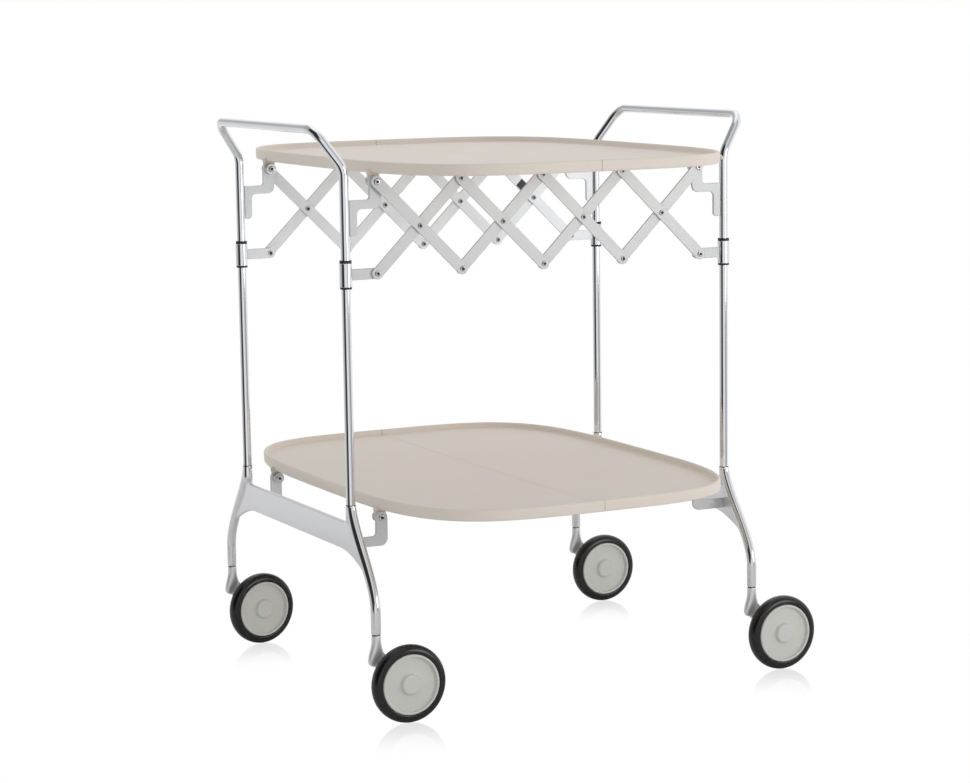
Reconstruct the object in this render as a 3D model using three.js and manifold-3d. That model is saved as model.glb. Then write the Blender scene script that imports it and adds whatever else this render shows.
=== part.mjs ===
// Folding two-tray bar cart on swivel casters. Millimetres, Z up, the long way of the cart along X.
// One end of the cart is described and built twice: the right end is the left end turned half a turn about Z.
import * as THREE from "three";
import { mergeVertices } from "three/addons/utils/BufferGeometryUtils.js";
import Module from "manifold-3d";

const wasm = await Module();
wasm.setup();

// -------------------------------------------- driving dimensions
const CART_HEIGHT = 700; // floor to the top of the grab bars
const POST_SPAN_X = 520; // between post axes, end to end
const POST_SPAN_Y = 329; // between the two post axes of one end
const TUBE_D = 11;
const TUBE_WALL = 1;
const HANDLE_OUT = 32; // the grab bar sits this far outboard of the posts
const HANDLE_IN = 11.5; // and its corners this far inside them
const HANDLE_RISE = 46.5; // height of the slanted run between post and bar
const BEND_R = 30;
const CORNER_R = 22;

const TRAY_LENGTH = 636; // along Y
const TRAY_OVERHANG = 8.3; // tray edge beyond the pivots, along X
const TRAY_POWER = 3.9; // exponent of the superellipse outline
const TRAY_SKIRT = 14; // full height of the rim
const TRAY_LIP = 5; // width of the rim seen from above
const TRAY_DEPTH = 7; // rim top to tray floor
const TRAY_FLOOR = 3;
const TRAY_WALL = 3;
const TRAY_OVER_PIVOT = 10; // pivot axis up to the lower edge of the rim
const BARREL_R = 4; // seam hinge barrel
const BARREL_LENGTH = 20;
const BARREL_STATIONS = [-200, 0, 200]; // along Y
const ROD_R = 1.5;
const LUG_THICKNESS = 2.5;
const LUG_R = 6.5;
const BOSS_LENGTH = 7.5; // round boss inboard of each lug

const UPPER_DROP = 68.2; // top of the cart down to the upper pivots
const LOWER_PIVOT_Z = 230.5; // pivots of the lower tray
const PIVOT_INSET = 39.2; // pivots inboard of the post axes
const LATTICE_HEIGHT = 108.4; // upper to lower row of link pivots
const LATTICE_CELLS = 4;
const LINK_WIDTH = 14;
const LINK_THICKNESS = 2.5;
const PIN_R = 2.4;
const RIVET_R = 3.6;
const RIVET_HEIGHT = 1.4;

const PLATE = 4; // thickness of brackets, hooks and collar arms
const BRACKET_WIDTH = 15; // upright with the pivot
const BRACKET_ARM_TOP = 21; // below the pivot
const BRACKET_ARM_BOTTOM = 31.6;
const BRACKET_TAIL = 63; // lowest point below the pivot
const BRACKET_TAIL_WIDTH = 9.6;
const HOOK_ARM_TOP = 22;
const HOOK_ARM_BOTTOM = 34;
const COLLAR_WALL = 1.2;
const COLLAR_HEIGHT = 28;
const COLLAR_ARM = 13;
const BUSH_LIP = 2.8;
const BUSH_WALL = 0.35;
const BUSH_FLANGE = 0.9;

const SOCKET_TOP = 248.7; // where the post enters the end casting
const SOCKET_DEPTH = 14;
const SOCKET_WALL = 1.4;
const LEG_R = 5.8;
const LEG_SPLAY = 65.3; // caster axis outboard of the post axis, along Y
const LEG_BEND_TOP = 256;
const LEG_BEND_BOTTOM = 132;
const CASTER_JOINT = 104;
const WEB_TOP = 227;
const WEB_BOTTOM = 193;
const WEB_THICKNESS = 5;

const WHEEL_R = 46.8;
const WHEEL_WIDTH = 18;
const HUB_R = 36.5;
const BOSS_R = 13;
const WHEEL_TRAIL = 31.4; // wheel axis from the swivel axis, along X
const WHEEL_SIDE = 20.4; // wheel centre from the swivel axis, along Y
const ARM_THICKNESS = 8;
const ARM_FLARE = 10.4;
const ARM_DROP = 38; // lower tip of the arm below the joint
const AXLE_R = 3;
const SWIVEL_PIN_R = 2.8;
const SWIVEL_PIN_HEIGHT = 14;
const REST_SWIVEL = { back_left: 8.5 }; // degrees a caster rests turned; the others point along X

const GAP = 0.3; // clearance between neighbouring pieces
const BORE_GAP = 0.45; // radial clearance of faceted bores around faceted pins

// -------------------------------------------- values that follow from them
const POST_X = POST_SPAN_X / 2;
const POST_Y = POST_SPAN_Y / 2;
const TUBE_R = TUBE_D / 2;
const SOCKET_R = TUBE_R + SOCKET_WALL;
const BUSH_BORE = TUBE_R + GAP + 0.05;
const BUSH_BODY_R = BUSH_BORE + BUSH_WALL;
const COLLAR_BORE = BUSH_BODY_R + GAP;
const COLLAR_R = COLLAR_BORE + COLLAR_WALL;
const PIVOT_X = POST_X - PIVOT_INSET;
const UPPER_PIVOT_Z = CART_HEIGHT - UPPER_DROP;
const HALF_TRAY_X = PIVOT_X + TRAY_OVERHANG;
const HALF_TRAY_Y = TRAY_LENGTH / 2;
const CELL = (2 * PIVOT_X) / LATTICE_CELLS;
const LINK_LENGTH = Math.hypot(CELL, LATTICE_HEIGHT);
const LINK_ANGLE = Math.atan2(LATTICE_HEIGHT, CELL);
const INNER_LAYER = PLATE / 2 + GAP; // inboard face of the first link layer, from the post plane
const OUTER_LAYER = INNER_LAYER + LINK_THICKNESS + GAP;
const OUTER_FACE = OUTER_LAYER + LINK_THICKNESS;
const REACH_RIGHT = POST_X + WHEEL_TRAIL + WHEEL_R;
const REACH_LEFT = POST_X + HANDLE_OUT + TUBE_R;
const CENTRE_SHIFT = (REACH_LEFT - REACH_RIGHT) / 2; // puts the middle of the whole cart on the origin

// -------------------------------------------- materials
const metal = (colour, roughness) =>
  new THREE.MeshStandardMaterial({ color: colour, roughness, metalness: 1 });
const plastic = (colour, roughness) =>
  new THREE.MeshStandardMaterial({ color: colour, roughness, metalness: 0 });
const CHROME = () => metal("#d9dadd", 0.1);
const CASTING = () => metal("#cfd0d4", 0.22);
const SATIN = () => metal("#cbccce", 0.42);
const STEEL = () => metal("#9c9ea1", 0.3);
const SAND = () => plastic("#cfc5b8", 0.55);
const BLACK = () => plastic("#17181a", 0.4);
const RUBBER = () => plastic("#101112", 0.25);
const GREY = () => plastic("#b8bbb2", 0.5);

// -------------------------------------------- solids
function solid(geometry) {
  const bare = geometry.clone();
  bare.deleteAttribute("normal");
  bare.deleteAttribute("uv");
  const merged = mergeVertices(bare, 1e-4);
  return new wasm.Manifold(
    new wasm.Mesh({
      numProp: 3,
      vertProperties: merged.attributes.position.array,
      triVerts: new Uint32Array(merged.index.array),
    }),
  );
}

function geometryOf(body) {
  const mesh = body.getMesh();
  const indexed = new THREE.BufferGeometry();
  const points = new Float32Array(mesh.numVert * 3);
  for (let i = 0; i < mesh.numVert; i++) {
    points.set(mesh.vertProperties.subarray(i * mesh.numProp, i * mesh.numProp + 3), i * 3);
  }
  indexed.setAttribute("position", new THREE.BufferAttribute(points, 3));
  indexed.setIndex(new THREE.BufferAttribute(mesh.triVerts, 1));
  const flat = indexed.toNonIndexed();
  flat.computeVertexNormals();
  return flat;
}

function piece(parent, name, body, material) {
  const mesh = new THREE.Mesh(geometryOf(body), material);
  mesh.name = name;
  parent.add(mesh);
  return mesh;
}

function block(x0, x1, y0, y1, z0, z1) {
  const box = new THREE.BoxGeometry(x1 - x0, y1 - y0, z1 - z0);
  return solid(box.translate((x0 + x1) / 2, (y0 + y1) / 2, (z0 + z1) / 2));
}

// A bar along Y from y0 to y1, centred on x, z.
function barY(radius, y0, y1, x, z, sides) {
  const bar = new THREE.CylinderGeometry(radius, radius, y1 - y0, sides);
  return solid(bar.translate(x, (y0 + y1) / 2, z));
}

// An upright cylinder centred on x, y.
function barZ(radius, z0, z1, x, y, sides) {
  const bar = new THREE.CylinderGeometry(radius, radius, z1 - z0, sides);
  return solid(bar.rotateX(Math.PI / 2).translate(x, y, (z0 + z1) / 2));
}

// A closed profile of [radius, height] pairs, counter-clockwise, turned about Z.
function turned(profile, segments) {
  const points = profile.map(([r, z]) => new THREE.Vector2(r, z));
  points.push(points[0].clone());
  return solid(new THREE.LatheGeometry(points, segments).rotateX(Math.PI / 2));
}

// Adds an arc of a few straight steps to an outline.
function arc(shape, x, z, r, from, to, steps) {
  for (let i = 0; i <= steps; i++) {
    const angle = from + ((to - from) * i) / steps;
    shape.lineTo(x + r * Math.cos(angle), z + r * Math.sin(angle));
  }
}

// A flat plate drawn in X and Z, standing between two distances along Y.
function plateXZ(shape, y0, y1, curveSegments) {
  const plate = new THREE.ExtrudeGeometry(shape, { depth: y1 - y0, bevelEnabled: false, curveSegments });
  return solid(plate.rotateX(Math.PI / 2).translate(0, y1, 0));
}

// A path whose stations are the given points, with straight runs left unsplit.
class StationPath extends THREE.Curve {
  constructor(points) {
    super();
    this.points = points;
  }

  at(u) {
    return Math.min(Math.round(u * (this.points.length - 1)), this.points.length - 1);
  }

  getPointAt(u, target = new THREE.Vector3()) {
    return target.copy(this.points[this.at(u)]);
  }

  getTangentAt(u, target = new THREE.Vector3()) {
    const i = this.at(u);
    const before = this.points[Math.max(i - 1, 0)];
    const after = this.points[Math.min(i + 1, this.points.length - 1)];
    const here = this.points[i];
    const incoming = here.clone().sub(before).normalize();
    const outgoing = after.clone().sub(here).normalize();
    return target.copy(incoming).add(outgoing).normalize();
  }
}

// The points of a polyline with its inner corners rounded to the given radii.
function rounded(corners, radii, steps) {
  const points = [corners[0]];
  for (let i = 1; i < corners.length - 1; i++) {
    const back = corners[i - 1].clone().sub(corners[i]).normalize();
    const ahead = corners[i + 1].clone().sub(corners[i]).normalize();
    const half = back.angleTo(ahead) / 2;
    const bisector = back.clone().add(ahead).normalize();
    const centre = corners[i].clone().addScaledVector(bisector, radii[i - 1] / Math.sin(half));
    const from = corners[i].clone().addScaledVector(back, radii[i - 1] / Math.tan(half)).sub(centre);
    const axis = from.clone().cross(bisector.clone().negate()).normalize();
    for (let k = 0; k <= steps; k++) {
      const turn = ((Math.PI - 2 * half) * k) / steps;
      points.push(from.clone().applyAxisAngle(axis, turn).add(centre));
    }
  }
  points.push(corners[corners.length - 1]);
  return points;
}

// A round bar or tube along a list of points.
function swept(points, radius, bore, sides) {
  const ring = new THREE.Shape().absarc(0, 0, radius, 0, 2 * Math.PI);
  if (bore > 0) {
    ring.holes.push(new THREE.Path().absarc(0, 0, bore, 0, 2 * Math.PI, true));
  }
  const extrudePath = new StationPath(points);
  const settings = { steps: points.length - 1, curveSegments: sides / 2, extrudePath };
  return solid(new THREE.ExtrudeGeometry(ring, settings));
}

// -------------------------------------------- grab handle with its two posts
function handle() {
  const foot = SOCKET_TOP - SOCKET_DEPTH + GAP;
  const barZc = CART_HEIGHT - TUBE_R;
  const shoulder = barZc - HANDLE_RISE;
  const corners = [
    new THREE.Vector3(0, -POST_Y, foot),
    new THREE.Vector3(0, -POST_Y, shoulder),
    new THREE.Vector3(-HANDLE_OUT, -POST_Y + HANDLE_IN, barZc),
    new THREE.Vector3(-HANDLE_OUT, POST_Y - HANDLE_IN, barZc),
    new THREE.Vector3(0, POST_Y, shoulder),
    new THREE.Vector3(0, POST_Y, foot),
  ];
  const path = rounded(corners, [BEND_R, CORNER_R, CORNER_R, BEND_R], 3);
  return swept(path, TUBE_R, TUBE_R - TUBE_WALL, 8);
}

// -------------------------------------------- end casting: two splayed legs and a web
function legY(z) {
  const t = THREE.MathUtils.clamp((LEG_BEND_TOP - z) / (LEG_BEND_TOP - LEG_BEND_BOTTOM), 0, 1);
  return POST_Y + LEG_SPLAY * t * t * (3 - 2 * t);
}

function endCasting() {
  const footZ = CASTER_JOINT + GAP;
  const heights = [SOCKET_TOP - 4, 226, 208, 190, 172, 154, LEG_BEND_BOTTOM, footZ];
  const web = new THREE.Shape();
  web.moveTo(-POST_Y, WEB_TOP);
  web.lineTo(POST_Y, WEB_TOP);
  const beside = heights.filter((h) => h < WEB_TOP && h > 160);
  for (const z of beside) {
    web.lineTo(legY(z), z);
  }
  web.quadraticCurveTo(POST_Y + 8, WEB_BOTTOM, POST_Y - 24, WEB_BOTTOM);
  web.lineTo(-POST_Y + 24, WEB_BOTTOM);
  const last = beside[beside.length - 1];
  web.quadraticCurveTo(-POST_Y - 8, WEB_BOTTOM, -legY(last), last);
  for (const z of beside.slice(0, -1).reverse()) {
    web.lineTo(-legY(z), z);
  }
  const sheet = new THREE.ExtrudeGeometry(web, { depth: WEB_THICKNESS, bevelEnabled: false, curveSegments: 4 });
  sheet.rotateX(Math.PI / 2).rotateZ(Math.PI / 2).translate(-WEB_THICKNESS / 2, 0, 0);
  let body = solid(sheet);
  for (const side of [-1, 1]) {
    const path = heights.map((z) => new THREE.Vector3(0, side * legY(z), z));
    const socketFoot = SOCKET_TOP - SOCKET_DEPTH - 3;
    body = body.add(swept(path, LEG_R, 0, 8));
    body = body.add(barZ(SOCKET_R, socketFoot, SOCKET_TOP, 0, side * POST_Y, 10));
    const boreR = TUBE_R + BORE_GAP;
    body = body.subtract(barZ(boreR, SOCKET_TOP - SOCKET_DEPTH, SOCKET_TOP + 5, 0, side * POST_Y, 10));
    const pinR = SWIVEL_PIN_R + BORE_GAP;
    const pinTop = footZ + SWIVEL_PIN_HEIGHT + GAP;
    body = body.subtract(barZ(pinR, footZ - 5, pinTop, 0, side * (POST_Y + LEG_SPLAY), 8));
  }
  return body;
}

// -------------------------------------------- pivot pins, drawn along -Y from the post plane
function pin(from, headAt) {
  const shank = barY(PIN_R, -headAt - 0.2, -from, 0, 0, 8);
  return shank.add(barY(RIVET_R, -headAt - RIVET_HEIGHT, -headAt, 0, 0, 8));
}

// A fixed end pin: a stub into the tray lug, and outboard one link on the inner layer,
// or with a shoulder on the outer layer.
function endPin(withLug, layer) {
  const stub = withLug ? -(PLATE / 2 + GAP + LUG_THICKNESS + BOSS_LENGTH) : 0;
  if (layer === "none") {
    return pin(stub, PLATE / 2);
  }
  const face = layer === "outer" ? OUTER_FACE : INNER_LAYER + LINK_THICKNESS;
  const body = pin(stub, face + GAP);
  return layer === "outer" ? body.add(barY(RIVET_R, -OUTER_LAYER + GAP, 0, 0, 0, 8)) : body;
}

// -------------------------------------------- S-shaped bracket, from the post axis to the upper pivot
function upperBracket(layer) {
  const post = TUBE_R + GAP / 2;
  const half = BRACKET_WIDTH / 2;
  const left = PIVOT_INSET - half;
  const right = PIVOT_INSET + half;
  const tail = post + BRACKET_TAIL_WIDTH;
  const s = new THREE.Shape();
  s.moveTo(post, -BRACKET_ARM_TOP);
  s.lineTo(post, -BRACKET_TAIL);
  s.lineTo(tail - 5, -BRACKET_TAIL);
  arc(s, tail - 5, -BRACKET_TAIL + 5, 5, -Math.PI / 2, 0, 2);
  arc(s, tail + 6, -BRACKET_ARM_BOTTOM - 6, 6, Math.PI, Math.PI / 2, 2);
  arc(s, right - 9, -BRACKET_ARM_BOTTOM + 9, 9, -Math.PI / 2, 0, 2);
  arc(s, PIVOT_INSET, 0, half, 0, Math.PI, 4);
  arc(s, left - 4, -BRACKET_ARM_TOP + 4, 4, 0, -Math.PI / 2, 2);
  const body = plateXZ(s, -PLATE / 2, PLATE / 2, 4);
  return body.add(endPin(true, layer).translate([PIVOT_INSET, 0, 0]));
}

// -------------------------------------------- L-shaped hook, from the casting web to the lower pivot
function lowerHook() {
  const half = BRACKET_WIDTH / 2;
  const foot = WEB_THICKNESS / 2 + GAP;
  const s = new THREE.Shape();
  s.moveTo(foot, -HOOK_ARM_TOP);
  s.lineTo(foot, -HOOK_ARM_BOTTOM);
  arc(s, PIVOT_INSET + half - 9, -HOOK_ARM_BOTTOM + 9, 9, -Math.PI / 2, 0, 2);
  arc(s, PIVOT_INSET, 0, half, 0, Math.PI, 4);
  arc(s, PIVOT_INSET - half - 4, -HOOK_ARM_TOP + 4, 4, 0, -Math.PI / 2, 2);
  const body = plateXZ(s, -PLATE / 2, PLATE / 2, 4);
  return body.add(endPin(true, "none").translate([PIVOT_INSET, 0, 0]));
}

// -------------------------------------------- sliding collar with its arm, and its black bush
function collar(layer) {
  const bore = COLLAR_BORE;
  const root = COLLAR_BORE + COLLAR_WALL / 4;
  const arm = new THREE.Shape();
  arm.moveTo(root, -COLLAR_ARM / 2);
  arc(arm, PIVOT_INSET, 0, COLLAR_ARM / 2, -Math.PI / 2, Math.PI / 2, 4);
  arm.lineTo(root, COLLAR_ARM / 2);
  const half = COLLAR_HEIGHT / 2;
  const sleeve = turned([[bore, -half], [COLLAR_R, -half], [COLLAR_R, half], [bore, half]], 10);
  const body = sleeve.add(plateXZ(arm, -PLATE / 2, PLATE / 2, 4));
  return body.add(endPin(false, layer).translate([PIVOT_INSET, 0, 0]));
}

function collarBush() {
  const inner = BUSH_BORE;
  const wall = BUSH_BODY_R;
  const flange = BUSH_BODY_R + BUSH_FLANGE;
  const low = COLLAR_HEIGHT / 2 + GAP;
  const high = low + BUSH_LIP;
  const profile = [
    [inner, -high],
    [flange, -high],
    [flange, -low],
    [wall, -low],
    [wall, low],
    [flange, low],
    [flange, high],
    [inner, high],
  ];
  return turned(profile, 10);
}

// -------------------------------------------- scissor links, along X from their first pivot
function linkBar(layer, holes) {
  const r = LINK_WIDTH / 2;
  const bar = new THREE.Shape();
  bar.moveTo(0, -r);
  arc(bar, LINK_LENGTH, 0, r, -Math.PI / 2, Math.PI / 2, 4);
  arc(bar, 0, 0, r, Math.PI / 2, (3 * Math.PI) / 2, 4);
  for (const x of holes) {
    bar.holes.push(new THREE.Path().absarc(x, 0, PIN_R + BORE_GAP, 0, 2 * Math.PI, true));
  }
  return plateXZ(bar, -layer - LINK_THICKNESS, -layer, 4);
}

// A link of the inner layer: holes for the pins of its partners, and a plain stub where the lattice is left open.
function innerLink(holes, stubs) {
  let body = linkBar(INNER_LAYER, holes);
  for (const x of stubs) {
    const back = INNER_LAYER - RIVET_HEIGHT;
    body = body.add(barY(RIVET_R, -INNER_LAYER - 0.2, -back, x, 0, 8));
  }
  return body;
}

// A link of the outer layer: it carries the rivets that pass through the inner layer.
function outerLink(holes, pins, stubs) {
  let body = linkBar(OUTER_LAYER, holes);
  for (const x of pins) {
    const back = INNER_LAYER - GAP;
    const rivet = pin(back - RIVET_HEIGHT / 2, OUTER_FACE);
    const rear = barY(RIVET_R, -back, -back + RIVET_HEIGHT, 0, 0, 8);
    body = body.add(rivet.add(rear).translate([x, 0, 0]));
  }
  for (const x of stubs) {
    body = body.add(barY(RIVET_R, -OUTER_FACE - RIVET_HEIGHT, -OUTER_FACE + 0.2, x, 0, 8));
  }
  return body;
}

// -------------------------------------------- half of a tray, from the seam outboard
function trayOutline(inset) {
  const count = 36;
  const shape = new THREE.Shape();
  for (let i = 0; i < count; i++) {
    const angle = (2 * Math.PI * (i + 0.5)) / count;
    const c = Math.cos(angle);
    const s = Math.sin(angle);
    const x = Math.sign(c) * Math.abs(c) ** (2 / TRAY_POWER) * (HALF_TRAY_X - inset);
    const y = Math.sign(s) * Math.abs(s) ** (2 / TRAY_POWER) * (HALF_TRAY_Y - inset);
    if (i === 0) {
      shape.moveTo(x, y);
    } else {
      shape.lineTo(x, y);
    }
  }
  return shape;
}

function slab(inset, z0, z1, bevel) {
  const settings = {
    depth: z1 - z0 - 2 * bevel,
    bevelEnabled: bevel > 0,
    bevelThickness: bevel,
    bevelSize: bevel,
    bevelSegments: 1,
  };
  return solid(new THREE.ExtrudeGeometry(trayOutline(inset + bevel), settings).translate(0, 0, z0 + bevel));
}

function halfTray() {
  const seam = GAP / 2;
  const rimLow = TRAY_OVER_PIVOT;
  const rimTop = rimLow + TRAY_SKIRT;
  const floorTop = rimTop - TRAY_DEPTH;
  const floorLow = floorTop - TRAY_FLOOR;
  const far = HALF_TRAY_X + 50;
  const wide = HALF_TRAY_Y + 50;
  let body = slab(0, rimLow, rimTop, 1.6);
  body = body.subtract(slab(TRAY_LIP, floorTop, rimTop + 20, 1.6));
  const hollow = slab(TRAY_WALL, rimLow - 20, floorLow, 0);
  body = body.subtract(hollow.intersect(block(-far, -seam - TRAY_WALL, -wide, wide, 0, floorLow + 5)));
  body = body.intersect(block(-far, -seam, -wide, wide, 0, rimTop + 10));
  // ribs under the floor that carry the lugs
  for (const side of [-1, 1]) {
    const inner = POST_Y - PLATE / 2 - GAP;
    const y0 = side > 0 ? inner - LUG_THICKNESS : -inner;
    const y1 = y0 + LUG_THICKNESS;
    const edge = HALF_TRAY_X - TRAY_WALL - 4;
    body = body.add(block(-edge, -seam - 1, y0, y1, rimLow, floorLow + 1));
    const lug = new THREE.Shape();
    lug.moveTo(-PIVOT_X - LUG_R, floorLow);
    arc(lug, -PIVOT_X, 0, LUG_R, Math.PI, 2 * Math.PI, 4);
    lug.lineTo(-PIVOT_X + LUG_R, floorLow);
    lug.holes.push(new THREE.Path().absarc(-PIVOT_X, 0, PIN_R + BORE_GAP, 0, 2 * Math.PI, true));
    body = body.add(plateXZ(lug, y0, y1, 4));
    const boss = new THREE.Shape().absarc(-PIVOT_X, 0, LUG_R, 0, 2 * Math.PI, false);
    boss.holes.push(new THREE.Path().absarc(-PIVOT_X, 0, PIN_R + BORE_GAP, 0, 2 * Math.PI, true));
    body = body.add(side > 0 ? plateXZ(boss, y0 - BOSS_LENGTH, y1, 4) : plateXZ(boss, y0, y1 + BOSS_LENGTH, 4));
  }
  // seam hinge: own barrels, room for the barrels of the other half, and the rod bore
  const rodEnd = BARREL_STATIONS[BARREL_STATIONS.length - 1] + BARREL_LENGTH + 3;
  for (const y of BARREL_STATIONS) {
    body = body.subtract(barY(BARREL_R + 2.5 * GAP, y, y + BARREL_LENGTH + GAP, 0, rimLow, 8));
    body = body.add(barY(BARREL_R, y - BARREL_LENGTH, y - GAP, 0, rimLow, 8));
  }
  return body.subtract(barY(ROD_R + BORE_GAP, -rodEnd, rodEnd, 0, rimLow, 8));
}

function hingeRod() {
  const end = BARREL_STATIONS[BARREL_STATIONS.length - 1] + BARREL_LENGTH + 2;
  return barY(ROD_R, -end, end, 0, TRAY_OVER_PIVOT, 8);
}

// -------------------------------------------- caster: arm beside the wheel, axle, hub and tyre
function casterArm() {
  const r = TUBE_R;
  const tip = CASTER_JOINT - ARM_DROP;
  const s = new THREE.Shape();
  s.moveTo(-r + 1, CASTER_JOINT - 8);
  s.quadraticCurveTo(-r, CASTER_JOINT - 16, -ARM_FLARE, CASTER_JOINT - 29);
  s.quadraticCurveTo(-ARM_FLARE - 1, tip + 2, -4, tip);
  s.lineTo(WHEEL_TRAIL - 7, WHEEL_R - 7);
  arc(s, WHEEL_TRAIL, WHEEL_R, 9, (-3 * Math.PI) / 4, (3 * Math.PI) / 8, 4);
  s.lineTo(ARM_FLARE + 4, CASTER_JOINT - 30);
  s.quadraticCurveTo(r + 1, CASTER_JOINT - 18, r - 1, CASTER_JOINT - 8);
  const half = ARM_THICKNESS / 2;
  let body = plateXZ(s, -half, half, 4);
  body = body.add(barZ(r, CASTER_JOINT - 18, CASTER_JOINT, 0, 0, 10));
  body = body.add(barZ(SWIVEL_PIN_R, CASTER_JOINT - 2, CASTER_JOINT + SWIVEL_PIN_HEIGHT, 0, 0, 8));
  return body.subtract(barY(AXLE_R + BORE_GAP, -half - 5, half + 5, WHEEL_TRAIL, WHEEL_R, 8));
}

// Wheel pieces are turned about Z through the wheel centre, with the outer face of the wheel up.
function hub() {
  const half = WHEEL_WIDTH / 2;
  const bore = AXLE_R + BORE_GAP;
  const profile = [
    [0, half - 2],
    [bore, half - 2],
    [bore, -half],
    [BOSS_R - 4, -half],
    [BOSS_R - 4, -half + 5],
    [HUB_R - 3, -half + 5],
    [HUB_R - 3, -half + 1],
    [HUB_R, -half + 1],
    [HUB_R, half - 1],
    [HUB_R - 3, half - 0.6],
    [HUB_R - 3, half - 3.5],
    [BOSS_R, half - 3.5],
    [BOSS_R, half],
    [BOSS_R - 1, half + 1],
    [0, half + 1],
  ];
  return turned(profile, 16);
}

function tyre() {
  const half = WHEEL_WIDTH / 2;
  const inner = HUB_R + GAP;
  const crown = WHEEL_R / Math.cos(Math.PI / 16);
  const profile = [
    [inner, -half + 1],
    [HUB_R + 3, -half],
    [crown - 3, -half + 2.5],
    [crown, -half + 6.5],
    [crown, half - 6.5],
    [crown - 3, half - 2.5],
    [HUB_R + 3, half],
    [inner, half - 1],
  ];
  return turned(profile, 16);
}

function axle() {
  const back = ARM_THICKNESS / 2 + GAP;
  const front = -WHEEL_SIDE - WHEEL_WIDTH / 2 + 3;
  return barY(AXLE_R, front, back, 0, 0, 8).add(barY(5, back, back + 1.6, 0, 0, 8));
}

function caster(parent, tag) {
  const swivel = new THREE.Group();
  parent.add(swivel);
  piece(swivel, "caster_arm_" + tag, casterArm(), CASTING());
  const pin = piece(swivel, "caster_axle_" + tag, axle(), STEEL());
  pin.position.set(WHEEL_TRAIL, 0, WHEEL_R);
  const wheel = new THREE.Group();
  wheel.position.set(WHEEL_TRAIL, -WHEEL_SIDE, WHEEL_R);
  wheel.rotation.set(Math.PI / 2, 0, Math.PI / 16);
  swivel.add(wheel);
  piece(wheel, "wheel_hub_" + tag, hub(), GREY());
  piece(wheel, "wheel_tyre_" + tag, tyre(), RUBBER());
  return swivel;
}

// -------------------------------------------- one end of the cart
// near is the row at -Y in the end's own frame, far the row at +Y.
function cartEnd(end, near, far) {
  const group = new THREE.Group();
  const post = new THREE.Group();
  post.position.x = -POST_X;
  group.add(post);
  piece(post, "handle_" + end, handle(), CHROME());
  piece(post, "casting_" + end, endCasting(), CASTING());
  const trays = [["upper", UPPER_PIVOT_Z], ["lower", LOWER_PIVOT_Z]];
  for (const [level, z] of trays) {
    const half = piece(group, "tray_" + level + "_" + end, halfTray(), SAND());
    half.position.z = z;
  }

  for (const row of ["near", "far"]) {
    const tag = (row === "near" ? near : far) + "_" + end;
    const side = row === "near" ? -1 : 1;
    // In the near row the falling links lie outside the rising ones; half a turn makes it the other way round.
    const topLayer = row === "near" ? "outer" : "inner";
    const lowLayer = row === "near" ? "inner" : "outer";
    const flip = side > 0 ? [1, -1, 1] : [1, 1, 1];
    const place = (name, body, material, x, z, turn) => {
      const mesh = piece(post, name + "_" + tag, body.scale(flip), material);
      mesh.position.set(x, side * POST_Y, z);
      mesh.rotation.y = turn;
      return mesh;
    };
    const lowZ = UPPER_PIVOT_Z - LATTICE_HEIGHT;
    place("bracket", upperBracket(topLayer), SATIN(), 0, UPPER_PIVOT_Z, 0);
    place("hook", lowerHook(), SATIN(), 0, LOWER_PIVOT_Z, 0);
    place("collar", collar(lowLayer), SATIN(), 0, lowZ, 0);
    place("bush", collarBush(), BLACK(), 0, lowZ, 0);

    // Pivots along a link: first 0, crossing middle, last end.
    const mid = LINK_LENGTH / 2;
    const outer1 = outerLink([0], [mid, LINK_LENGTH], []);
    const inner1 = innerLink([0, mid, LINK_LENGTH], []);
    const outer2 = outerLink([], [0, mid], [LINK_LENGTH]);
    const inner2 = innerLink([0, mid], [LINK_LENGTH]);
    const first = PIVOT_INSET;
    const second = PIVOT_INSET + CELL;
    place("link_top1", topLayer === "outer" ? outer1 : inner1, SATIN(), first, UPPER_PIVOT_Z, LINK_ANGLE);
    place("link_low1", lowLayer === "outer" ? outer1 : inner1, SATIN(), first, lowZ, -LINK_ANGLE);
    place("link_top2", topLayer === "outer" ? outer2 : inner2, SATIN(), second, UPPER_PIVOT_Z, LINK_ANGLE);
    place("link_low2", lowLayer === "outer" ? outer2 : inner2, SATIN(), second, lowZ, -LINK_ANGLE);

    const wheelSet = caster(post, tag);
    wheelSet.position.y = side * (POST_Y + LEG_SPLAY);
    wheelSet.rotation.z = THREE.MathUtils.degToRad(REST_SWIVEL[tag] ?? 0) - (end === "right" ? Math.PI : 0);
  }
  return group;
}

// -------------------------------------------- assembly
const cart = new THREE.Group();
cart.name = "bar_cart";
cart.position.x = CENTRE_SHIFT;
cart.add(cartEnd("left", "front", "back"));
const rightEnd = cartEnd("right", "back", "front");
rightEnd.rotation.z = Math.PI;
cart.add(rightEnd);
for (const [level, z] of [["upper", UPPER_PIVOT_Z], ["lower", LOWER_PIVOT_Z]]) {
  piece(cart, "seam_rod_" + level, hingeRod(), STEEL()).position.z = z;
}

const root = new THREE.Group();
root.add(cart);
export default root;
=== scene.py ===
import math

import bpy
import numpy as np
from mathutils import Matrix, Vector


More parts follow.
